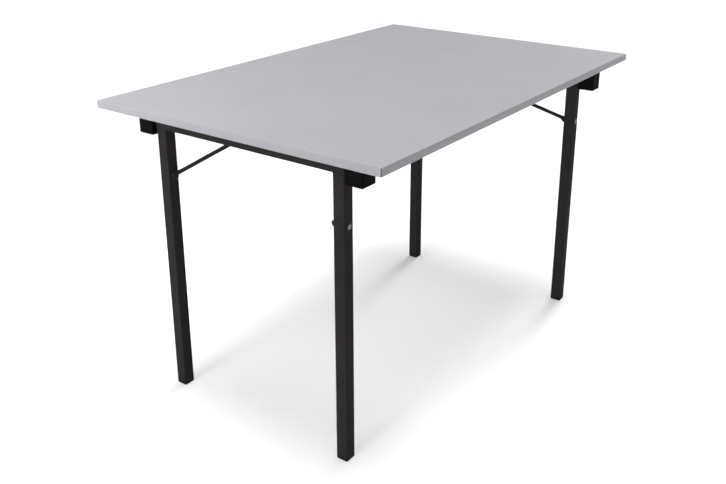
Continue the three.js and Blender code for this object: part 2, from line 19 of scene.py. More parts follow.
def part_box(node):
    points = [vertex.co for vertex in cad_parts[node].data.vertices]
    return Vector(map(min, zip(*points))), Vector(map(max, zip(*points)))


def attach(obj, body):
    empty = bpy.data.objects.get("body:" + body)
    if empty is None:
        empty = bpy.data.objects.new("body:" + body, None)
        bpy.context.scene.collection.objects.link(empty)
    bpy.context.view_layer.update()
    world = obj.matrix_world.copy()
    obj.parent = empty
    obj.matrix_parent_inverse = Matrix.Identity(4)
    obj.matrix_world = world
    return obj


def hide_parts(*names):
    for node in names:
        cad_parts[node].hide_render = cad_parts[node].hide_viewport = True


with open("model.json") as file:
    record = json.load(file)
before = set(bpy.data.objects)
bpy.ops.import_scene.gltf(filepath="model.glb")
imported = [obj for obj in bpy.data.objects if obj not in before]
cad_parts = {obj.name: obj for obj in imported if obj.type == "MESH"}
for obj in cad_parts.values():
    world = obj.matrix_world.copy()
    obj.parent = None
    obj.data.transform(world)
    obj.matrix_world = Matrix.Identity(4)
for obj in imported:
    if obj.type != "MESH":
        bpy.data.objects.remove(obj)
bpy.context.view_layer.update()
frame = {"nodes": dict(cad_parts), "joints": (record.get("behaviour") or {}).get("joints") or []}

# ---------------------------------------------------------------- measures, in millimetres

MM = 0.001


def box(node):
    """Lowest and highest corner of a CAD node's box."""
    low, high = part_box(node)
    return low / MM, high / MM


def joint_point(name):
    """Point on a joint's axis."""
    joint = next(joint for joint in frame["joints"] if joint["name"] == name)
    return Vector(joint["pos_m"]) / MM


ENDS = ("left", "right")
SIDES = ("rear", "front")
LEGS = [(end, side) for end in ENDS for side in SIDES]

HINGE = {end: joint_point(f"frame_{end}_fold") for end in ENDS}
HINGE_Z = HINGE["left"].z
BOLT_Z = joint_point("stay_left_swing").z
BOARD_LOW, BOARD_HIGH = box("tabletop_board")
UNDERSIDE = BOARD_LOW.z

LEG_LOW, LEG_HIGH = box("leg_left_rear")
LEG_MIDDLE = Vector(((LEG_LOW.x + LEG_HIGH.x) / 2, (LEG_LOW.y + LEG_HIGH.y) / 2, 0))
TUBE = LEG_HIGH.x - LEG_LOW.x
TUBE_WALL = 1.5
TUBE_CORNER = 3
TUBE_BORE = TUBE - 2 * TUBE_WALL


def in_leg_place(node):
    """Extents of a piece of the left rear leg, in that leg's place."""
    low, high = box(node)
    return low - LEG_MIDDLE, high - LEG_MIDDLE


CAP_HIGH = in_leg_place("foot_cap_left_rear")[1]
PLUG_LOW, PLUG_HIGH = in_leg_place("crossbar_plug_left_rear")
PIN_LOW, PIN_HIGH = in_leg_place("hinge_pin_left_rear")
BLOCK_LOW, BLOCK_HIGH = in_leg_place("hinge_block_left_rear")
BOLT_LOW, BOLT_HIGH = in_leg_place("stay_bolt_left_rear")
NUT_LOW, NUT_HIGH = in_leg_place("stay_nut_left_rear")
PIN_RADIUS = (PIN_HIGH.x - PIN_LOW.x) / 2

# Fasteners
BORE_CLEARANCE = 0.3
BOLT_RADIUS = 4
THREAD_PITCH = 1.25
FLANGE_RADIUS = 8.9
FLANGE_THICKNESS = 1
HEAD_RADIUS = 5
SOCKET_RADIUS = 2.3
SOCKET_DEPTH = 1.6
NUT_RADIUS = 7.5
SCREW_RADIUS = 2.4
SCREW_CLEARANCE = 0.4
SCREW_HEAD_RADIUS = 4.7
SCREW_HEAD_HEIGHT = 3
BLOCK_SEAT_Z = box("block_screw_left_rear_1")[0].z + SCREW_HEAD_HEIGHT
COUNTERBORE_RADIUS = 5.4

# Stay, with its bar's axis where the frame stands and where it is folded
STAY_RADIUS = 5
STAY_BEND = 14
STAY_BAR_HALF = 45
STAY_STRAIGHT = 13
STAY_START = 5
EYE_RADIUS = 9
EYE_THICKNESS = 5
STAY_LEG_GAP = 1
STAY_HIGH = box("stay_left")[1]
BAR_X = STAY_HIGH.x - STAY_RADIUS - HINGE["left"].x
BAR_Z = STAY_HIGH.z - STAY_RADIUS
BAR_DROP = UNDERSIDE - BAR_Z
STAY_SPAN = math.hypot(BAR_X, BAR_Z - BOLT_Z)
STAY_ANGLE = math.atan2(BAR_Z - BOLT_Z, BAR_X)
CLIP_SCREW_X = -19
CLIP_TAB_X = -26
FOLDED_BAR_X = box("stow_clip_left")[0].x - CLIP_TAB_X - HINGE["left"].x

# Catch
CATCH_BASE = 2.5
CATCH_CHEEK = 3
CATCH_CHEEK_Y = 22
CATCH_SLOT_RADIUS = 5.5
CATCH_SCREW = Vector((17, 30.5))
CATCH_LOW, CATCH_HIGH = box("stay_catch_left")
SPRING_THICKNESS = 1.2
SPRING_WIDTH = 16
RIVET_X = 36
RIVET_HEAD_RADIUS = 3.2
RIVET_RADIUS = 1.6
RIVET_HOLE_RADIUS = 1.9
CLIP_THICKNESS = 1.5
CLIP_WIDTH = 18

# ---------------------------------------------------------------- places


def leg_place(end, side):
    """Place of one leg, as a matrix."""
    low, high = box(f"leg_{end}_{side}")
    middle = Vector(((low.x + high.x) / 2, (low.y + high.y) / 2, 0))
    turn = 0 if side == "rear" else math.pi
    return Matrix.Translation(middle) @ Matrix.Rotation(turn, 4, "Z")


def end_place(end, x=0, z=0):
    """Place of one end, moved inwards by x and up by z."""
    turn = 0 if end == "left" else math.pi
    foot = Vector((HINGE[end].x, HINGE[end].y, 0))
    return Matrix.Translation(foot) @ Matrix.Rotation(turn, 4, "Z") @ Matrix.Translation((x, 0, z))


TABLE_PLACE = Matrix.Identity(4)
# Turns a shape drawn along +Z so that it points along +Y.
ALONG_Y = Matrix.Rotation(-math.pi / 2, 4, "X")

# ---------------------------------------------------------------- lines and outlines


def rounded(points, radius, steps=6, closed=True):
    """The line through the points, with each corner rounded by an arc."""
    line = []
    for index, point in enumerate(points):
        here = Vector(point)
        if not closed and index in (0, len(points) - 1):
            line.append(here)
            continue
        into = (here - Vector(points[index - 1])).normalized()
        out = (Vector(points[(index + 1) % len(points)]) - here).normalized()
        turn = into.angle(out)
        size = radius[index] if isinstance(radius, (list, tuple)) else radius
        if size == 0:
            line.append(here)
            continue
        start = here - into * size * math.tan(turn / 2)
        centre = here + (out - into).normalized() * size / math.cos(turn / 2)
        arm = start - centre
        for step in range(steps + 1):
            angle = turn * step / steps
            line.append(centre + arm * math.cos(angle) + into * size * math.sin(angle))
    return line


def rectangle(width, depth, corner, steps=6):
    """Rectangle round the origin with rounded corners."""
    least_corner = 0.01
    x, y = width / 2, depth / 2
    return rounded([(x, -y), (x, y), (-x, y), (-x, -y)], max(corner, least_corner), steps)


def circle(radius, sides=48):
    angles = [2 * math.pi * index / sides for index in range(sides)]
    return [Vector((radius * math.cos(angle), radius * math.sin(angle))) for angle in angles]


def dense(line, spacing):
    """The open line with points added along its long pieces."""
    points = []
    for here, after in zip(line, line[1:]):
        pieces = max(1, round((after - here).length / spacing))
        points += [here.lerp(after, step / pieces) for step in range(pieces)]
    return points + [line[-1]]


def ribbon(line, thickness):
    """Outline of a strip of even thickness that follows a line."""
    left, right = [], []
    for index, here in enumerate(line):
        before = line[max(index - 1, 0)]
        after = line[min(index + 1, len(line) - 1)]
        along = (after - before).normalized()
        across = Vector((-along.y, along.x)) * thickness / 2
        left.append(here + across)
        right.append(here - across)
    return left + right[::-1]


# ---------------------------------------------------------------- shapes


def loft(rings, looped=False):
    """Closed skin over rings of points. Without a loop, the first and last ring are capped."""
    shape = bmesh.new()
    rows = [[shape.verts.new(point) for point in ring] for ring in rings]
    pairs = list(zip(rows, rows[1:]))
    if looped:
        pairs.append((rows[-1], rows[0]))
    for lower, upper in pairs:
        for index in range(len(lower)):
            follow = (index + 1) % len(lower)
            shape.faces.new((lower[index], lower[follow], upper[follow], upper[index]))
    if not looped:
        shape.faces.new(rows[0][::-1])
        shape.faces.new(rows[-1])
    bmesh.ops.recalc_face_normals(shape, faces=shape.faces)
    return shape


def at_height(outline, z):
    """Ring of points from a flat outline."""
    return [(point[0], point[1], z) for point in outline]


def lathe(profile, sides=48, looped=False):
    """Solid of revolution about Z from (radius, z) pairs."""
    return loft([at_height(circle(radius, sides), z) for radius, z in profile], looped)


def prism(outline, bottom, top):
    """Upright extrusion of an outline."""
    return loft([at_height(outline, bottom), at_height(outline, top)])


def slab(outline, start, stop):
    """Extrusion along Y of an outline drawn in X and Z."""
    return loft([[(point[0], y, point[1]) for point in outline] for y in (start, stop)])


def plate(width, depth, corner, bottom, top, soft, steps=3):
    """Upright block with rounded corners and with its top and bottom edges rounded too."""
    rings = []
    for step in range(steps + 1):
        angle = math.pi / 2 * step / steps
        rings.append((soft * (1 - math.sin(angle)), bottom + soft * (1 - math.cos(angle))))
    rings += [(inset, top + bottom - z) for inset, z in rings[::-1]]
    outlines = [(rectangle(width - 2 * inset, depth - 2 * inset, corner - inset), z) for inset, z in rings]
    return loft([at_height(outline, z) for outline, z in outlines])


def moved(shape, matrix):
    shape.transform(matrix)
    return shape


def shifted(shape, x=0, y=0, z=0):
    return moved(shape, Matrix.Translation((x, y, z)))


def softened(shape, width, segments=2, sharp=40, pick=lambda edge: True):
    """The shape with its sharp edges rounded."""
    shape.normal_update()
    limit = math.radians(sharp)
    edges = [edge for edge in shape.edges if edge.is_manifold and edge.calc_face_angle() > limit]
    edges = [edge for edge in edges if pick(edge)]
    settings = {"offset_type": "OFFSET", "profile": 0.5, "affect": "EDGES", "clamp_overlap": True}
    bmesh.ops.bevel(shape, geom=edges, offset=width, segments=segments, **settings)
    return shape


def scratch_object(shape, name):
    """Object that holds a shape for as long as a join or cut needs it."""
    mesh = bpy.data.meshes.new(name)
    shape.to_mesh(mesh)
    shape.free()
    made = bpy.data.objects.new(name, mesh)
    bpy.context.scene.collection.objects.link(made)
    return made


MERGE_DISTANCE = 0.002


def combined(base, tools, operation):
    """The base shape with the tool shapes joined to it or cut from it."""
    holder = scratch_object(base, "base")
    helpers = [scratch_object(tool, "tool") for tool in tools]
    for helper in helpers:
        step = holder.modifiers.new("step", "BOOLEAN")
        step.operation = operation
        step.solver = "EXACT"
        step.object = helper
    graph = bpy.context.evaluated_depsgraph_get()
    result = bmesh.new()
    result.from_mesh(holder.evaluated_get(graph).to_mesh())
    for used in [holder, *helpers]:
        mesh = used.data
        bpy.data.objects.remove(used)
        bpy.data.meshes.remove(mesh)
    bmesh.ops.remove_doubles(result, verts=result.verts, dist=MERGE_DISTANCE)
    return result


def cut(base, *tools):
    return combined(base, tools, "DIFFERENCE")


def joined(base, *tools):
    return combined(base, tools, "UNION")


def finished(shape, name, sharp=35):
    """A mesh in metres, smooth except at edges sharper than the angle."""
    bmesh.ops.recalc_face_normals(shape, faces=shape.faces)
    mesh = bpy.data.meshes.new(name)
    shape.to_mesh(mesh)
    shape.free()
    mesh.transform(Matrix.Scale(MM, 4))
    mesh.shade_smooth()
    mesh.set_sharp_from_angle(angle=math.radians(sharp))
    return mesh


# ---------------------------------------------------------------- materials


class Finish:
    """A material round one Principled shader, with the record's slot that it stands for."""

    def __init__(self, name, slot, values):
        self.slot = slot
        self.material = bpy.data.materials.new(name)
        self.material.use_nodes = True
        self.tree = self.material.node_tree
        self.shader = self.tree.nodes["Principled BSDF"]
        for socket, value in values.items():
            self.shader.inputs[socket].default_value = value
        self.place = self.add("ShaderNodeTexCoord", {}).outputs["Object"]

    def add(self, kind, inputs, **settings):
        """A node with its settings, each input linked to a socket or set to a value."""
        node = self.tree.nodes.new(kind)
        for key, value in settings.items():
            setattr(node, key, value)
        for key, value in inputs.items():
            if isinstance(value, bpy.types.NodeSocket):
                self.tree.links.new(value, node.inputs[key])
            else:
                node.inputs[key].default_value = value
        return node

    def noise(self, scale, detail=2.0, stretch=(1, 1, 1), roughness=0.5):
        """Noise from 0 to 1; the scale counts features in a metre."""
        mapping = self.add("ShaderNodeMapping", {"Vector": self.place, "Scale": stretch})
        inputs = {"Vector": mapping.outputs[0], "Scale": scale, "Detail": detail, "Roughness": roughness}
        return self.add("ShaderNodeTexNoise", inputs).outputs[0]

    def ranged(self, value, low, high, from_low=0.3, from_high=0.7):
        """The value moved from one range to another and held inside it."""
        inputs = {"Value": value, "From Min": from_low, "From Max": from_high}
        inputs.update({"To Min": low, "To Max": high})
        return self.add("ShaderNodeMapRange", inputs).outputs[0]

    def blended(self, share, first, second):
        """Colour between two colours, each a socket or a tuple."""
        node = self.tree.nodes.new("ShaderNodeMix")
        node.data_type = "RGBA"
        for index, value in ((0, share), (6, first), (7, second)):
            if isinstance(value, bpy.types.NodeSocket):
                self.tree.links.new(value, node.inputs[index])
            else:
                node.inputs[index].default_value = value
        return node.outputs[2]

    def edges(self, radius, low=0.02, high=0.25):
        """1 on sharp edges, within the radius of them, and 0 on flat faces."""
        rounding = self.add("ShaderNodeBevel", {"Radius": radius}, samples=4).outputs[0]
        facing = self.add("ShaderNodeNewGeometry", {}).outputs["Normal"]
        inputs = {0: rounding, 1: facing}
        straight = self.add("ShaderNodeVectorMath", inputs, operation="DOT_PRODUCT").outputs["Value"]
        return self.ranged(straight, 1, 0, 1 - high, 1 - low)

    def bump(self, height, strength, distance, normal=None):
        """Surface relief, on top of another relief if one is given."""
        inputs = {"Height": height, "Strength": strength, "Distance": distance}
        if normal:
            inputs["Normal"] = normal
        return self.add("ShaderNodeBump", inputs).outputs[0]

    def use(self, **sockets):
        """Links values to the shader, for example base_color to Base Color."""
        for name, value in sockets.items():
            self.tree.links.new(value, self.shader.inputs[name.replace("_", " ").title()])


def grey(red, green=None, blue=None):
    """Colour near grey: one number for all three channels, or one for each."""
    return (red, red if green is None else green, red if blue is None else blue, 1)


def melamine():
    """Pressed melamine facing: a pearl texture, faint clouds and wiping streaks."""
    finish = Finish("melamine_facing", "melamine_board", {"Specular IOR Level": 0.17})
    cloud = finish.ranged(finish.noise(5, 3), 0, 1)
    tone = finish.blended(cloud, grey(0.289, 0.286, 0.304), grey(0.302, 0.299, 0.318))
    fleck = finish.ranged(finish.noise(1400, 1), 0, 0.22, 0.45, 0.75)
    finish.use(base_color=finish.blended(fleck, tone, grey(0.332, 0.329, 0.348)))
    streak = finish.noise(90, 2, (0.15, 1, 1))
    finish.use(roughness=finish.ranged(streak, 0.50, 0.54))
    pearl = finish.bump(finish.noise(1100, 2), 0.25, 0.00008)
    finish.use(normal=finish.bump(finish.noise(260, 2), 0.12, 0.0001, pearl))
    return finish


def edging():
    """Extruded plastic edging: lines along it, a painted highlight along the arrises and painted shade on
    the rounded vertical corners.
    """
    finish = Finish("plastic_edging", "edge_band", {"Specular IOR Level": 0.3})
    cloud = finish.ranged(finish.noise(9, 2), 0, 1)
    tone = finish.blended(cloud, grey(0.273, 0.270, 0.287), grey(0.287, 0.284, 0.302))
    # Painted highlight: the edging's arrises are given a lighter colour, standing in for the light line
    # that the light lays along them.
    lighter_arrises = finish.ranged(finish.edges(0.0012), 0, 0.5, 0, 1)
    tone = finish.blended(lighter_arrises, tone, grey(0.40, 0.396, 0.415))
    # Painted shade: where the normal faces diagonally, on the rounded vertical corners, the colour is
    # darkened.
    normal = finish.add("ShaderNodeNewGeometry", {}).outputs["Normal"]
    parts = finish.add("ShaderNodeSeparateXYZ", {0: normal}).outputs
    turning = finish.add("ShaderNodeMath", {0: parts[0], 1: parts[1]}, operation="MULTIPLY").outputs[0]
    corner = finish.add("ShaderNodeMath", {0: turning}, operation="ABSOLUTE").outputs[0]
    painted_corner_shade = finish.ranged(corner, 0, 0.8, 0.08, 0.3)
    finish.use(base_color=finish.blended(painted_corner_shade, tone, grey(0.05, 0.05, 0.053)))
    lines = finish.noise(900, 2, (0.02, 0.02, 1))
    finish.use(roughness=finish.ranged(lines, 0.44, 0.50))
    finish.use(normal=finish.bump(lines, 0.08, 0.00004))
    return finish


def powder_coat():
    """Satin black powder coat: orange peel, fine specks, thinner on the arrises."""
    finish = Finish("powder_coat_black", "powder_coat", {"IOR": 1.09})
    cloud = finish.ranged(finish.noise(14, 3), 0, 1)
    tone = finish.blended(cloud, grey(0.0172, 0.0156, 0.0159), grey(0.0207, 0.0190, 0.0194))
    speck = finish.ranged(finish.noise(1500, 1), 0, 0.45, 0.5, 0.7)
    tone = finish.blended(speck, tone, grey(0.030, 0.0278, 0.0283))
    lighter_arrises = finish.ranged(finish.edges(0.0016), 0, 0.55, 0, 1)
    finish.use(base_color=finish.blended(lighter_arrises, tone, grey(0.036, 0.034, 0.034)))
    finish.use(roughness=finish.ranged(finish.noise(420, 2), 0.52, 0.66))
    peel = finish.bump(finish.noise(520, 1), 0.5, 0.0002)
    finish.use(normal=finish.bump(finish.noise(2600, 1), 0.3, 0.00006, peel))
    return finish


def black_plastic():
    """Moulded nylon: spark-eroded texture, slightly shiny where it has been rubbed."""
    finish = Finish("moulded_black", "black_plastic", {"IOR": 1.08})
    cloud = finish.ranged(finish.noise(40, 3), 0, 1)
    tone = finish.blended(cloud, grey(0.0030, 0.0030, 0.0034), grey(0.0045, 0.0045, 0.0050))
    lighter_arrises = finish.ranged(finish.edges(0.0018), 0, 0.5, 0, 1)
    finish.use(base_color=finish.blended(lighter_arrises, tone, grey(0.014, 0.014, 0.015)))
    finish.use(roughness=finish.ranged(finish.noise(300, 3), 0.50, 0.66))
    finish.use(normal=finish.bump(finish.noise(1900, 3), 0.35, 0.0001))
    return finish


def zinc():
    """Bright zinc plate: cloudy spangle and light handling marks."""
    values = {"Metallic": 1.0, "Specular IOR Level": 0.5}
    finish = Finish("zinc_plate", "zinc_steel", values)
    cloud = finish.ranged(finish.noise(220, 3), 0, 1)
    finish.use(base_color=finish.blended(cloud, grey(0.50, 0.515, 0.54), grey(0.64, 0.645, 0.655)))
    finish.use(roughness=finish.ranged(finish.noise(700, 3), 0.24, 0.42))
    finish.use(normal=finish.bump(finish.noise(1600, 2), 0.15, 0.00005))
    return finish


def black_zinc():
    """Black-passivated zinc plate, glossy, with the plate showing grey on the arrises."""
    values = {"Metallic": 0.85, "Specular IOR Level": 0.5}
    finish = Finish("zinc_plate_black", "black_zinc", values)
    cloud = finish.ranged(finish.noise(260, 3), 0, 1)
    tone = finish.blended(cloud, grey(0.008, 0.008, 0.009), grey(0.014, 0.014, 0.015))
    lighter_arrises = finish.ranged(finish.edges(0.0006), 0, 0.6, 0, 1)
    finish.use(base_color=finish.blended(lighter_arrises, tone, grey(0.045, 0.045, 0.047)))
    finish.use(roughness=finish.ranged(finish.noise(800, 2), 0.26, 0.40))
    finish.use(normal=finish.bump(finish.noise(1500, 2), 0.12, 0.00004))
    return finish


def worn_steel():
    """Steel laid bare where tools have rubbed the plate away: dull, with short scuffs."""
    finish = Finish("steel_worn_bare", "black_zinc", {"Metallic": 1.0})
    cloud = finish.ranged(finish.noise(900, 3), 0, 1)
    finish.use(base_color=finish.blended(cloud, grey(0.20, 0.20, 0.205), grey(0.42, 0.42, 0.43)))
    finish.use(roughness=finish.ranged(finish.noise(1300, 2), 0.28, 0.46))
    finish.use(normal=finish.bump(finish.noise(2200, 2), 0.2, 0.00004))
    return finish


def spring_steel():
    """Oiled spring steel: rolling lines along the strip and blue-grey patches."""
    finish = Finish("spring_strip", "spring_steel", {"Metallic": 1.0})
    cloud = finish.ranged(finish.noise(130, 3), 0, 1)
    finish.use(base_color=finish.blended(cloud, grey(0.19, 0.20, 0.23), grey(0.29, 0.29, 0.30)))
    lines = finish.noise(2200, 2, (0.05, 1, 1))
    finish.use(roughness=finish.ranged(lines, 0.26, 0.42))
    finish.use(normal=finish.bump(lines, 0.2, 0.00004))
    return finish


MELAMINE = melamine()
EDGING = edging()
POWDER_COAT = powder_coat()
BLACK_PLASTIC = black_plastic()
ZINC = zinc()
BLACK_ZINC = black_zinc()
WORN_STEEL = worn_steel()
SPRING_STEEL = spring_steel()


def add_piece(name, mesh, place, body, finish, node=None):
    """Puts a finished mesh in its place, on its body, in its material, for its CAD node."""
    if not mesh.materials:
        mesh.materials.append(finish.material)
    piece = bpy.data.objects.new(name, mesh)
    bpy.context.scene.collection.objects.link(piece)
    piece.matrix_world = Matrix.Scale(MM, 4) @ place @ Matrix.Scale(1 / MM, 4)
    shading = piece.modifiers.new("shading", "WEIGHTED_NORMAL")
    shading.keep_sharp = True
    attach(piece, body)
    if node:
        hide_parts(node)
    return piece


# ---------------------------------------------------------------- board and edging


def pilot_holes():
    """Cutters for the screws' pilot holes, open at the board's underside."""
    tools = []
    for node in frame["nodes"]:
        if "_screw_" in node:
            low, high = box(node)
            hole = lathe([(SCREW_RADIUS, UNDERSIDE - 1), (SCREW_RADIUS, high.z + 1), (0.1, high.z + 3)], 16)
            tools.append(shifted(hole, (low.x + high.x) / 2, (low.y + high.y) / 2))
    return tools


def add_board():
    """The board, drilled from below for the screws."""
    size = BOARD_HIGH - BOARD_LOW
    joint_line, corner = 0.2, 0.05
    board = plate(size.x, size.y, corner, BOARD_LOW.z, BOARD_HIGH.z, joint_line, 2)
    mesh = finished(cut(board, *pilot_holes()), "board")
    add_piece("board", mesh, TABLE_PLACE, "table", MELAMINE, "tabletop_board")


def edge_band(node):
    """A strip glued to one side of the board, its outer arrises rounded by the trimmer."""
    low, high = box(node)
    size = high - low
    middle = (low + high) / 2
    arris, joint_line, corner = 1.3, 0.15, 1.9
    near = 0.01
    lengthwise = size.x > size.y
    length, thickness = (size.x, size.y) if lengthwise else (size.y, size.x)
    half, out = length / 2, thickness / 2
    corners = [(half, -out), (half, out), (-half, out), (-half, -out)]
    radii = [corner, 0, 0, corner] if lengthwise else 0
    strip = prism(rounded(corners, radii), low.z, high.z)

    def lies_inside(edge):
        return all(vertex.co.y > out - near for vertex in edge.verts)

    def lies_level(edge):
        return abs(edge.verts[0].co.z - edge.verts[1].co.z) < near

    def is_arris(edge):
        ends_out = lengthwise or abs(edge.verts[0].co.x + edge.verts[1].co.x) < near
        return lies_level(edge) and not lies_inside(edge) and ends_out

    softened(strip, arris, 4, 60, is_arris)
    softened(strip, joint_line, 1, 60, lies_inside)
    turn = {"front": 0, "right": 90, "rear": 180, "left": 270}[node.rsplit("_", 1)[1]]
    place = Matrix.Translation((middle.x, middle.y, 0)) @ Matrix.Rotation(math.radians(turn), 4, "Z")
    return finished(moved(strip, place), node)


def add_edge_bands():
    """The four strips of edging."""
    for side in ("front", "rear", "left", "right"):
        node = f"edge_band_{side}"
        add_piece(f"edging_{side}", edge_band(node), TABLE_PLACE, "table", EDGING, node)


# ---------------------------------------------------------------- leg frames


def square_tube(start, stop):
    """Square tube along Z with rounded corners and its sawn ends eased."""
    eased = 0.3
    stations = [
        (TUBE - 2 * eased, start),
        (TUBE, start + eased),
        (TUBE, stop - eased),
        (TUBE - 2 * eased, stop),
        (TUBE_BORE + 2 * eased, stop),
        (TUBE_BORE, stop - eased),
        (TUBE_BORE, start + eased),
        (TUBE_BORE + 2 * eased, start),
    ]
    rings = []
    for width, z in stations:
        corner = TUBE_CORNER - (TUBE - width) / 2
        rings.append(at_height(rectangle(width, width, corner), z))
    return loft(rings, looped=True)


def leg_tube():
    """A leg, bored through for the stay bolt."""
    hole = lathe([(BOLT_RADIUS + BORE_CLEARANCE, -TUBE), (BOLT_RADIUS + BORE_CLEARANCE, TUBE)], 32)
    tool = shifted(moved(hole, ALONG_Y), z=BOLT_Z)
    return finished(cut(square_tube(LEG_LOW.z, LEG_HIGH.z), tool), "leg_tube")


def insert_rings(start, stop, fins):
    """Stations of a ribbed plug that is pressed into a tube: width, corner and height."""
    core, fin, slope = TUBE_BORE - 1.4, TUBE_BORE - 0.5, 0.8
    stations = [(core, 1, start)]
    for index in range(fins):
        z = start + (stop - start) * (index + 1) / (fins + 1)
        stations += [(core, 1, z - slope), (fin, 1, z), (core, 1, z + slope)]
    return stations + [(core, 1, stop - 1.5), (core - 2.5, 1, stop)]


def square_loft(stations):
    """Solid through square sections, each a width, a corner radius and a height."""
    return loft([at_height(rectangle(width, width, corner), z) for width, corner, z in stations])


def foot_cap():
    """Plastic cap with a hollow, ribbed insert and a rounded sole."""
    flange = LEG_LOW.z
    stations = [
        (13.5, 2, CAP_HIGH.z - 4),
        (14.5, 2, 0.8),
        (16, 2.6, 0),
        (26.6, 2.2, 0),
        (28.6, 2.7, 0.5),
        (29.6, 3, 1.5),
        (29.7, 3, flange - 0.5),
        (29.2, 2.8, flange),
    ]
    stations += insert_rings(flange, CAP_HIGH.z, 4)
    return finished(square_loft(stations), "foot_cap")


def crossbar_plug():
    """Plastic end plug of the crossbar, bored for the pin, with a ring round the bore."""
    face = TUBE / 2
    stations = [
        (TUBE - 2.6, 2, PLUG_HIGH.y),
        (TUBE - 1, 2.6, PLUG_HIGH.y - 0.3),
        (TUBE - 0.3, 3, PLUG_HIGH.y - 1),
        (TUBE - 0.3, 3, face),
    ]
    stations += insert_rings(face, PLUG_LOW.y, 3)
    bore = PIN_RADIUS + 0.1
    profile = [(bore + 3.2, face), (bore + 3.2, PLUG_HIGH.y + 0.6), (bore + 2.8, PLUG_HIGH.y + 1)]
    ring = lathe(profile)
    hole = lathe([(bore, PLUG_LOW.y - 1), (bore, PLUG_HIGH.y + 2)])
    plug = cut(joined(square_loft(stations), ring), hole)
    return finished(shifted(moved(plug, ALONG_Y), z=HINGE_Z), "crossbar_plug")


def hinge_pin():
    """Steel pin between the plug and the block, with a retaining groove in the gap."""
    gap = (PLUG_HIGH.y + BLOCK_LOW.y) / 2
    groove, chamfer = 0.5, 1
    profile = [
        (PIN_RADIUS - chamfer, PIN_LOW.y),
        (PIN_RADIUS, PIN_LOW.y + chamfer),
        (PIN_RADIUS, gap - 0.7),
        (PIN_RADIUS - groove, gap - 0.5),
        (PIN_RADIUS - groove, gap + 0.5),
        (PIN_RADIUS, gap + 0.7),
        (PIN_RADIUS, PIN_HIGH.y - chamfer),
        (PIN_RADIUS - chamfer, PIN_HIGH.y),
    ]
    return finished(shifted(moved(lathe(profile), ALONG_Y), z=HINGE_Z), "hinge_pin")


def hinge_block():
    """Moulded block under the board: pin bore, screw wells, and a shallow panel and ejector marks below."""
    size = BLOCK_HIGH - BLOCK_LOW
    middle_y = (BLOCK_LOW.y + BLOCK_HIGH.y) / 2
    edge = 1.1
    body = plate(size.x, size.y, 3, BLOCK_LOW.z, BLOCK_HIGH.z, edge, 4)
    bore = PIN_RADIUS + BORE_CLEARANCE
    depth = PIN_HIGH.y + 1 - BLOCK_LOW.y
    start = -size.y / 2
    profile = [(bore + 2, start - 1), (bore + 0.8, start), (bore, start + 0.8), (bore, start + depth)]
    tools = [shifted(moved(lathe(profile), ALONG_Y), z=HINGE_Z)]
    shank = SCREW_RADIUS + SCREW_CLEARANCE
    well = [
        (COUNTERBORE_RADIUS + 1.6, BLOCK_LOW.z - 1),
        (COUNTERBORE_RADIUS + 0.6, BLOCK_LOW.z),
        (COUNTERBORE_RADIUS, BLOCK_LOW.z + 0.6),
        (COUNTERBORE_RADIUS, BLOCK_SEAT_Z),
        (shank, BLOCK_SEAT_Z),
        (shank, BLOCK_HIGH.z + 1),
    ]
    for index in (1, 2):
        low, high = in_leg_place(f"block_screw_left_rear_{index}")
        tools.append(shifted(lathe(well, 32), x=(low.x + high.x) / 2))
    panel_width, panel_length, panel_corner, panel_depth = 14, 30, 2, 0.8
    panel_top = BLOCK_LOW.z + panel_depth
    tools.append(plate(panel_width, panel_length, panel_corner, BLOCK_LOW.z - 2, panel_top, 0.3))
    mark_radius, mark_depth, mark_y = 2.4, 1.1, 10
    for y in (-mark_y, mark_y):
        mark = lathe([(mark_radius, BLOCK_LOW.z), (mark_radius, BLOCK_LOW.z + mark_depth)], 24)
        tools.append(shifted(mark, y=y))
    body = cut(body, *tools)
    return finished(shifted(body, y=middle_y), "hinge_block")


def weld_bead():
    """Weld all round the top of a leg, thicker on its inner side, with its ripples."""
    spacing, sides = 0.8, 12
    least_proud, more_inside, height = 0.5, 0.4, 1.2
    ripple_pitch, ripple_size = 2.9, 0.13
    waver_rate, waver_size = 0.9, 0.05
    inner_reach = 3
    corners = rectangle(TUBE, TUBE, TUBE_CORNER, 5)
    path = dense(corners + corners[:1], spacing)[:-1]
    turns = [2 * math.pi * step / sides for step in range(sides)]
    rings = []
    travelled = 0
    for index, here in enumerate(path):
        before, after = path[index - 1], path[(index + 1) % len(path)]
        travelled += (here - before).length
        along = (after - before).normalized()
        outwards = Vector((along.y, -along.x, 0))
        inner = max(0, min(1, (-here.y - TUBE / 2 + inner_reach) / inner_reach))
        wave = ripple_size * math.sin(2 * math.pi * travelled / ripple_pitch)
        ripple = 1 + wave + waver_size * math.sin(travelled * waver_rate)
        proud = (least_proud + more_inside * inner) * ripple
        tall = height * ripple
        centre = Vector((here.x, here.y, LEG_HIGH.z - 0.2 * tall))
        ring = []
        for turn in turns:
            rise = Vector((0, 0, tall * math.sin(turn)))
            ring.append(centre + outwards * proud * math.cos(turn) + rise)
        rings.append(ring)
    return finished(loft(rings, looped=True), "weld_bead", 80)


def crossbar(end):
    """The tube across one end, in that end's place."""
    low, high = box(f"crossbar_{end}")
    half = (high.y - low.y) / 2
    tube = moved(square_tube(-half, half), ALONG_Y)
    return finished(shifted(tube, z=HINGE_Z), "crossbar")


# ---------------------------------------------------------------- bolts, nuts and screws


def hex_ring(radius, z, limit, sides=72):
    """Ring of a hexagon whose corners are trimmed to a circle."""
    flat = radius * math.cos(math.pi / 6)
    ring = []
    for index in range(sides):
        angle = 2 * math.pi * index / sides
        reach = min(flat / math.cos(angle % (math.pi / 3) - math.pi / 6), limit)
        ring.append((reach * math.cos(angle), reach * math.sin(angle), z))
    return ring


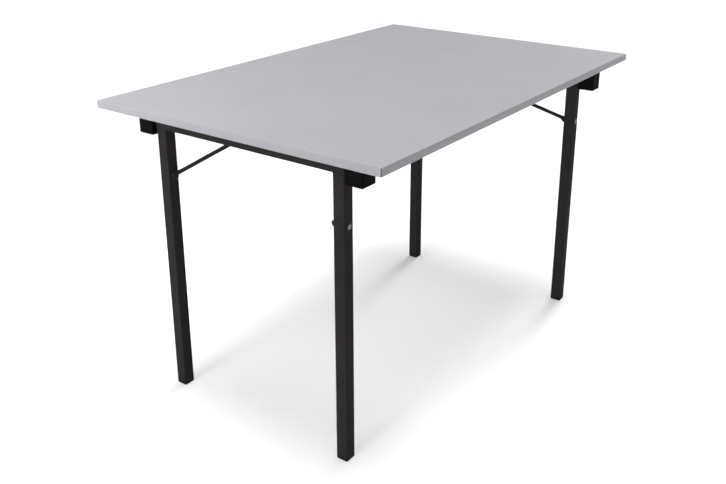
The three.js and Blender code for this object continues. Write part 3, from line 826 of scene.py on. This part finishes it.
def thread_rings(radius, depth, pitch, start, stop, sides, steps=6):
    """Rings of a screw thread that runs from start to stop."""
    count = max(2, round(abs(stop - start) / pitch * steps))
    rings = []
    for index in range(count + 1):
        z = start + (stop - start) * index / count
        fade = min(1, index / steps, (count - index) / steps)
        ring = []
        for side in range(sides):
            phase = (z / pitch + side / sides) % 1
            reach = radius - depth * fade * abs(2 * phase - 1)
            angle = 2 * math.pi * side / sides
            ring.append((reach * math.cos(angle), reach * math.sin(angle), z))
        rings.append(ring)
    return rings


def flange_bolt():
    """Bolt with its leg-side face at z = 0, head upwards: flange, button head and hexagon socket."""
    sides = 72
    shank = TUBE / 2 - BOLT_LOW.y
    top = BOLT_HIGH.y - TUBE / 2
    radius = BOLT_RADIUS - 0.1
    thread_length = 22
    button_flat = 3.0
    rings = [at_height(circle(radius - 1.1, sides), -shank)]
    rings += thread_rings(radius, 0.55, THREAD_PITCH, -shank + 0.8, -shank + thread_length, sides)
    profile = [(radius, -0.01), (FLANGE_RADIUS - 0.4, 0), (FLANGE_RADIUS, 0.3), (FLANGE_RADIUS, 0.7)]
    profile += [(FLANGE_RADIUS - 0.4, FLANGE_THICKNESS - 0.05), (HEAD_RADIUS + 0.2, FLANGE_THICKNESS)]
    for step in range(7):
        turn = math.radians(8 + 72 * step / 6)
        reach = button_flat + (HEAD_RADIUS - button_flat) * math.cos(turn)
        profile.append((reach, FLANGE_THICKNESS + (top - FLANGE_THICKNESS) * math.sin(turn)))
    profile += [(button_flat - 0.1, top), (SOCKET_RADIUS + 0.2, top - 0.05)]
    rings += [at_height(circle(reach, sides), z) for reach, z in profile]
    rings += [hex_ring(SOCKET_RADIUS, z, SOCKET_RADIUS, sides) for z in (top - 0.3, top - SOCKET_DEPTH)]
    rings.append(at_height(circle(0.4, sides), top - SOCKET_DEPTH - 0.6))
    return loft(rings)


def worn_bolt(finish, bare):
    """Mesh of the bolt, black except for the button's top, which is rubbed bare."""
    bare_from = FLANGE_THICKNESS + 0.5
    socket_radius = SOCKET_RADIUS + 0.1
    mesh = finished(flange_bolt(), "flange_bolt", 35)
    mesh.materials.append(finish.material)
    mesh.materials.append(bare.material)
    for face in mesh.polygons:
        rubbed = face.center.z > bare_from * MM
        in_socket = Vector(face.center[:2]).length < socket_radius * MM
        face.material_index = 1 if rubbed and not in_socket else 0
    mesh.transform(ALONG_Y)
    mesh.transform(Matrix.Translation((0, TUBE / 2 * MM, BOLT_Z * MM)))
    return mesh


def thin_nut():
    """Thin hexagon nut below z = 0, chamfered on both faces and threaded."""
    sides = 72
    height = NUT_HIGH.y - NUT_LOW.y
    flat = NUT_RADIUS * math.cos(math.pi / 6)
    hole = BOLT_RADIUS + 0.15
    outer = [(0, flat - 0.2), (-0.15, flat + 0.1), (-0.7, NUT_RADIUS)]
    outer += [(-height - z, limit) for z, limit in outer[::-1]]
    rings = [hex_ring(NUT_RADIUS, z, limit, sides) for z, limit in outer]
    rings.append(at_height(circle(hole + 0.7, sides), -height))
    rings += thread_rings(hole + 0.45, 0.45, THREAD_PITCH, -height + 0.7, -0.7, sides)
    rings.append(at_height(circle(hole + 0.7, sides), 0))
    nut = loft(rings, looped=True)
    return finished(shifted(moved(nut, ALONG_Y), y=NUT_HIGH.y, z=BOLT_Z), "thin_nut", 25)


def wood_screw(shank):
    """Pan-head screw with a cross recess, its seat at z = 0 and its thread above."""
    sides = 32
    profile = []
    for step in range(6):
        angle = math.radians(15 + 75 * step / 5)
        profile.append((SCREW_HEAD_RADIUS * math.sin(angle), -0.6 - 2.4 * math.cos(angle) ** 1.2))
    profile += [(SCREW_HEAD_RADIUS, -0.5), (SCREW_HEAD_RADIUS - 0.3, 0), (SCREW_RADIUS * 0.8, 0)]
    rings = [at_height(circle(radius, sides), z) for radius, z in profile]
    thread_depth, pitch, plain_length, point = 0.75, 1.8, 2, 4
    rings += thread_rings(SCREW_RADIUS, thread_depth, pitch, plain_length, shank - point, sides, 5)
    rings.append(at_height(circle(SCREW_RADIUS * 0.7, sides), shank - 3.5))
    rings.append(at_height(circle(0.2, sides), shank))
    blades = []
    for turn in (0, math.pi / 2):
        wide, narrow = rectangle(4.6, 0.95, 0.1, 2), rectangle(2, 0.6, 0.1, 2)
        blade = loft([at_height(wide, -SCREW_HEAD_HEIGHT - 0.3), at_height(narrow, -1)])
        blades.append(moved(blade, Matrix.Rotation(turn, 4, "Z")))
    return finished(cut(loft(rings), *blades), "wood_screw", 30)


# ---------------------------------------------------------------- stay


def stay_wire():
    """The bent wire in its end's place: flattened eyes, two long arms and the middle bar."""
    inner = (LEG_MIDDLE.y - HINGE["left"].y) - TUBE / 2
    rod_y = inner - STAY_LEG_GAP - STAY_RADIUS
    eye_y = inner - STAY_LEG_GAP - EYE_THICKNESS / 2
    slope = Vector((math.cos(STAY_ANGLE), 0, math.sin(STAY_ANGLE)))
    lift = Vector((-math.sin(STAY_ANGLE), 0, math.cos(STAY_ANGLE)))
    pivot = Vector((0, 0, BOLT_Z))
    flattened, widened, squared = 17, 1.2, 0.45
    sides, spacing = 24, 3

    def spot(distance, y):
        return pivot + slope * distance + Vector((0, y, 0))

    corners = [
        spot(STAY_START, rod_y),
        spot(STAY_STRAIGHT, rod_y),
        spot(STAY_SPAN, STAY_BAR_HALF),
        spot(STAY_SPAN, -STAY_BAR_HALF),
        spot(STAY_STRAIGHT, -rod_y),
        spot(STAY_START, -rod_y),
    ]
    line = dense(rounded(corners, STAY_BEND, 8, closed=False), spacing)
    lengths = [(after - before).length for before, after in zip(line, line[1:])]
    turns = [2 * math.pi * step / sides for step in range(sides)]
    rings = []
    for index, here in enumerate(line):
        before, after = line[max(index - 1, 0)], line[min(index + 1, len(line) - 1)]
        across = lift.cross((after - before).normalized())
        from_end = min(sum(lengths[:index]), sum(lengths[index:]))
        share = max(0, 1 - from_end / flattened)
        eased = share * share * (3 - 2 * share)
        side = 1 if here.y > 0 else -1
        centre = here + Vector((0, side * (eye_y - rod_y) * eased, 0))
        half_thick = STAY_RADIUS + (EYE_THICKNESS / 2 - 0.15 - STAY_RADIUS) * eased
        half_wide = STAY_RADIUS + widened * eased
        power = 1 - squared * eased
        ring = []
        for turn in turns:
            thick = math.copysign(abs(math.cos(turn)) ** power, math.cos(turn)) * half_thick
            wide = math.copysign(abs(math.sin(turn)) ** power, math.sin(turn)) * half_wide
            ring.append(centre + across * thick + lift * wide)
        rings.append(ring)
    wire = loft(rings)
    hole, half = BOLT_RADIUS + BORE_CLEARANCE, EYE_THICKNESS / 2
    soft = 0.7
    profile = [
        (hole, -half + 0.4),
        (hole + 0.4, -half),
        (EYE_RADIUS - soft, -half),
        (EYE_RADIUS, -half + soft),
    ]
    profile += [(reach, -z) for reach, z in profile[::-1]]
    eyes = []
    for side in (1, -1):
        eye = moved(lathe(profile, 48, looped=True), ALONG_Y)
        eyes.append(shifted(eye, y=side * eye_y, z=BOLT_Z))
    return finished(joined(wire, *eyes), "stay_wire", 45)


# ---------------------------------------------------------------- catch, spring and clip


def exit_angle():
    """Slope at which the bar leaves the catch when the frame starts to fold."""
    folded_angle = math.asin((BAR_Z - HINGE_Z) / STAY_SPAN)
    ratio = -(math.pi / 2 + STAY_ANGLE - folded_angle) / (math.pi / 2)
    arm, rise = HINGE_Z - BOLT_Z, BAR_Z - BOLT_Z
    return math.atan2(BAR_X * (1 + ratio), arm - rise * (1 + ratio))


def hook_outline(top):
    """Side plate of the catch about the standing bar's axis: x inwards, z up."""
    slope = exit_angle()
    along = Vector((math.cos(slope), math.sin(slope)))
    across = Vector((-along.y, along.x))
    front, chin, root = 13, 13, 22
    lower_lip, upper_lip = 12, 9
    slot = CATCH_SLOT_RADIUS

    def wall(distance, side):
        return along * distance + across * slot * side

    corners = [
        (Vector((-front, top)), 0),
        (Vector((-front, -chin)), 8),
        (Vector((lower_lip * 0.65, -chin)), 3),
        (wall(lower_lip, -1), 1.6),
    ]
    for step in range(13):
        turn = slope - math.pi / 2 - math.pi * step / 12
        corners.append((Vector((math.cos(turn), math.sin(turn))) * slot, 0))
    corners += [
        (wall(upper_lip, 1), 1.5),
        (Vector((root * 0.68, top * 0.3)), 5),
        (Vector((root, top)), 0),
    ]
    return rounded([point for point, _ in corners], [radius for _, radius in corners])


def stay_catch():
    """Base plate screwed under the board, with two hooked side plates welded under it."""
    low, high = CATCH_LOW - HINGE["left"], CATCH_HIGH - HINGE["left"]
    length, width = high.x - low.x, high.y - low.y
    top = BAR_DROP
    base = plate(length, width, 4, top - CATCH_BASE, top, 0.35, 2)
    base = shifted(base, x=(low.x + high.x) / 2 - BAR_X)
    cheeks = []
    outline = hook_outline(top - CATCH_BASE / 2)
    for side in (1, -1):
        middle = side * CATCH_CHEEK_Y
        cheek = slab(outline, middle - CATCH_CHEEK / 2, middle + CATCH_CHEEK / 2)
        cheeks.append(softened(cheek, 0.4, 2, 60))
    hole = SCREW_RADIUS + SCREW_CLEARANCE
    holes = []
    for side in (1, -1):
        tool = lathe([(hole, top - CATCH_BASE - 1), (hole, top + 1)], 24)
        holes.append(shifted(tool, CATCH_SCREW.x, side * CATCH_SCREW.y))
    rivet_hole = lathe([(RIVET_HOLE_RADIUS, top - CATCH_BASE - 1), (RIVET_HOLE_RADIUS, top + 1)], 24)
    holes.append(shifted(rivet_hole, RIVET_X))
    return finished(cut(joined(base, *cheeks), *holes), "stay_catch")


def bent_strip(corners, bend, thickness, width):
    """Strip bent along a line in X and Z, its edges eased."""
    line = rounded(corners, bend, 6, closed=False)
    return softened(slab(ribbon(line, thickness), -width / 2, width / 2), 0.25, 2, 60)


def catch_spring():
    """Leaf spring whose tip stands in the bar's way out of the catch."""
    foot = BAR_DROP - CATCH_BASE - SPRING_THICKNESS / 2 - 0.02
    slot = CATCH_SLOT_RADIUS
    corners = [(45, foot), (27, foot), (slot + 2.4, -0.6), (slot + 4.6, -slot - 0.5)]
    strip = bent_strip(corners, [0, 5, 2.5, 0], SPRING_THICKNESS, SPRING_WIDTH)
    hole = lathe([(RIVET_HOLE_RADIUS, foot - 3), (RIVET_HOLE_RADIUS, foot + 3)], 24)
    return finished(cut(strip, shifted(hole, RIVET_X)), "catch_spring")


def spring_rivet():
    """Domed rivet, its head under the spring and its shank up through the catch's base."""
    head_gap, rim, end_gap = 0.03, 0.2, 0.3
    seat = BAR_DROP - CATCH_BASE - SPRING_THICKNESS - head_gap
    profile = []
    for degrees in (12, 30, 48, 66, 90):
        turn = math.radians(degrees)
        profile.append((RIVET_HEAD_RADIUS * math.sin(turn), seat - rim - math.cos(turn)))
    profile += [(RIVET_HEAD_RADIUS, seat), (RIVET_RADIUS, seat), (RIVET_RADIUS, BAR_DROP - end_gap)]
    return finished(shifted(lathe(profile, 32), RIVET_X), "spring_rivet")


def stow_clip():
    """Two-pronged clip that holds the bar of the folded frame."""
    play, grip = 1.15, 1.5
    base = BAR_DROP - CLIP_THICKNESS / 2
    outer = STAY_RADIUS + CLIP_THICKNESS / 2 + play
    inner = outer - 0.2
    rise = STAY_RADIUS - grip
    tab_line = [(CLIP_TAB_X, base), (inner, base), (inner, -rise), (inner + 2, -rise - 3.5)]
    tab = bent_strip(tab_line, [0, 2.2, 3, 0], CLIP_THICKNESS, CLIP_WIDTH)
    prong_line = [(0, base - 0.05), (-outer, base - 0.05), (-outer, rise), (-outer - 5, -rise - 3)]
    prong = bent_strip(prong_line, [0, 2.2, 8, 0], CLIP_THICKNESS, CLIP_WIDTH - 0.1)
    hole = SCREW_RADIUS + SCREW_CLEARANCE
    tool = shifted(lathe([(hole, base - 3), (hole, base + 3)], 24), CLIP_SCREW_X)
    return finished(cut(joined(tab, prong), tool), "stow_clip")


# ---------------------------------------------------------------- assembly


def add_legs():
    """Everything that is the same at all four legs."""
    shapes = [
        ("leg", "leg_tube", leg_tube(), POWDER_COAT, "frame"),
        ("foot_cap", "foot", foot_cap(), BLACK_PLASTIC, "frame"),
        ("crossbar_plug", "end_plug", crossbar_plug(), BLACK_PLASTIC, "frame"),
        ("hinge_pin", "pivot_pin", hinge_pin(), ZINC, "frame"),
        ("hinge_block", "pivot_block", hinge_block(), BLACK_PLASTIC, "table"),
        ("stay_bolt", "flange_bolt", worn_bolt(BLACK_ZINC, WORN_STEEL), BLACK_ZINC, "frame"),
        ("stay_nut", "thin_nut", thin_nut(), BLACK_ZINC, "frame"),
        (None, "weld", weld_bead(), POWDER_COAT, "frame"),
    ]
    for end, side in LEGS:
        place = leg_place(end, side)
        for stem, name, mesh, finish, rider in shapes:
            body = "table" if rider == "table" else f"frame_{end}"
            node = f"{stem}_{end}_{side}" if stem else None
            add_piece(f"{name}_{end}_{side}", mesh, place, body, finish, node)


def add_ends():
    """Crossbar, stay, catch, spring, rivet and clip of each end."""
    bar = crossbar("left")
    wire = stay_wire()
    catch, spring, rivet, clip = stay_catch(), catch_spring(), spring_rivet(), stow_clip()
    for end in ENDS:
        foot = end_place(end)
        standing = end_place(end, BAR_X, BAR_Z)
        folded = end_place(end, FOLDED_BAR_X, BAR_Z)
        add_piece(f"frame_bar_{end}", bar, foot, f"frame_{end}", POWDER_COAT, f"crossbar_{end}")
        add_piece(f"stay_wire_{end}", wire, foot, f"stay_{end}", POWDER_COAT, f"stay_{end}")
        add_piece(f"hook_catch_{end}", catch, standing, "table", POWDER_COAT, f"stay_catch_{end}")
        add_piece(f"leaf_spring_{end}", spring, standing, "table", SPRING_STEEL, f"catch_spring_{end}")
        add_piece(f"rivet_{end}", rivet, standing, "table", ZINC, f"spring_rivet_{end}")
        add_piece(f"storage_clip_{end}", clip, folded, "table", SPRING_STEEL, f"stow_clip_{end}")


def add_screws():
    """A screw for each screw node, its head against its seat."""
    meshes = {}
    for index, node in enumerate(sorted(name for name in frame["nodes"] if "_screw_" in name)):
        low, high = box(node)
        shank = round(high.z - low.z - SCREW_HEAD_HEIGHT, 2)
        if shank not in meshes:
            meshes[shank] = wood_screw(shank)
        seat = Vector(((low.x + high.x) / 2, (low.y + high.y) / 2, low.z + SCREW_HEAD_HEIGHT))
        place = Matrix.Translation(seat) @ Matrix.Rotation(index * 0.7, 4, "Z")
        add_piece(f"wood_{node}", meshes[shank], place, "table", ZINC, node)


add_board()
add_edge_bands()
add_legs()
add_ends()
add_screws()

# ---------------------------------------------------------------- floor, light and camera

scene = bpy.context.scene


def add_floor():
    """A wide pale floor just under the feet, in metres."""
    half, gap = 25, 0.0004
    corners = [(-half, -half, 0), (half, -half, 0), (half, half, 0), (-half, half, 0)]
    mesh = bpy.data.meshes.new("floor")
    mesh.from_pydata(corners, [], [(0, 1, 2, 3)])
    floor = bpy.data.objects.new("floor", mesh)
    floor.location.z = -gap
    scene.collection.objects.link(floor)
    material = bpy.data.materials.new("floor_white")
    material.use_nodes = True
    shader = material.node_tree.nodes["Principled BSDF"]
    shader.inputs["Base Color"].default_value = grey(0.88)
    shader.inputs["Roughness"].default_value = 0.75
    shader.inputs["Specular IOR Level"].default_value = 0.2
    mesh.materials.append(material)


def add_world(seen, felt, patches):
    """White surroundings that light the table evenly, with brighter round patches in the sky.

    A patch is a direction, its angular radius in degrees and its brightness. Where the
    surroundings are seen directly they are an even white.
    """
    world = bpy.data.worlds.new("studio")
    scene.world = world
    world.use_nodes = True
    nodes, links = world.node_tree.nodes, world.node_tree.links

    def linked(kind, values, **settings):
        node = nodes.new(kind)
        for key, value in settings.items():
            setattr(node, key, value)
        for key, value in values.items():
            if isinstance(value, bpy.types.NodeSocket):
                links.new(value, node.inputs[key])
            else:
                node.inputs[key].default_value = value
        return node

    sky = linked("ShaderNodeTexCoord", {}).outputs["Generated"]
    total = linked("ShaderNodeValue", {}).outputs[0]
    total.default_value = felt
    for direction, radius, brightness in patches:
        towards = Vector(direction).normalized()
        inputs = {0: sky, 1: towards}
        facing = linked("ShaderNodeVectorMath", inputs, operation="DOT_PRODUCT").outputs["Value"]
        rim, core = math.cos(math.radians(radius * 1.3)), math.cos(math.radians(radius * 0.7))
        values = {"Value": facing, "From Min": rim, "From Max": core, "To Min": 0, "To Max": brightness}
        patch = linked("ShaderNodeMapRange", values, interpolation_type="SMOOTHSTEP").outputs[0]
        total = linked("ShaderNodeMath", {0: total, 1: patch}, operation="ADD").outputs[0]
    path = linked("ShaderNodeLightPath", {}).outputs["Is Camera Ray"]
    strength = linked("ShaderNodeMix", {0: path, 2: total, 3: seen}).outputs[0]
    background = nodes["Background"]
    background.inputs["Color"].default_value = grey(1.0)
    links.new(strength, background.inputs["Strength"])


def add_area_light(name, place, size, power, target):
    """A square fill light that faces the target and casts no shadow."""
    data = bpy.data.lights.new(name, "AREA")
    data.shape = "SQUARE"
    data.size = size
    data.energy = power
    data.use_shadow = False
    lamp = bpy.data.objects.new(name, data)
    scene.collection.objects.link(lamp)
    lamp.location = place
    lamp.rotation_euler = (Vector(target) - Vector(place)).to_track_quat("-Z", "Y").to_euler()
    lamp.visible_camera = False


def add_camera():
    """Camera at the viewing angle of the picture: to the front left, above the table."""
    heading, dip, roll = math.radians(36.10), math.radians(19.37), math.radians(-0.056)
    data = bpy.data.cameras.new("camera")
    data.sensor_width = 36
    data.lens = 43.827
    data.shift_x = -0.0073
    data.shift_y = -0.1045
    data.clip_start = 0.05
    data.clip_end = 200
    camera = bpy.data.objects.new("camera", data)
    scene.collection.objects.link(camera)
    forward = Vector((math.cos(dip) * math.cos(heading), math.cos(dip) * math.sin(heading), -math.sin(dip)))
    turn = forward.to_track_quat("-Z", "Y").to_matrix() @ Matrix.Rotation(roll, 3, "Z")
    camera.rotation_euler = turn.to_euler()
    camera.location = (-1.8195, -1.2605, 1.2893)
    scene.camera = camera


# Parts of the sky, each with a direction, a radius in degrees and a strength: bright overhead and
# part way up beyond both ends, faint and low beyond the left end, and dimmed in front and at the
# right rear
SKY_PATCHES = [
    ((0, -0.09, 1), 13, 11.5),
    ((-0.84, 0.02, 0.54), 9, 9.0),
    ((0.82, 0.08, 0.56), 8, 19.0),
    ((0.25, -0.96, 0.10), 54, -0.5),
    ((0.76, 0.56, 0.33), 28, -0.3),
    ((-0.97, -0.20, 0.12), 15, 0.8),
]

add_floor()
add_world(seen=1.05, felt=0.55, patches=SKY_PATCHES)
add_area_light("softbox_left", (-1.45, 0.85, 1.5), 1.0, 18, target=(-0.6, 0.4, 0.7))
add_camera()
scene.view_settings.view_transform = "Standard"
scene.view_settings.look = "None"
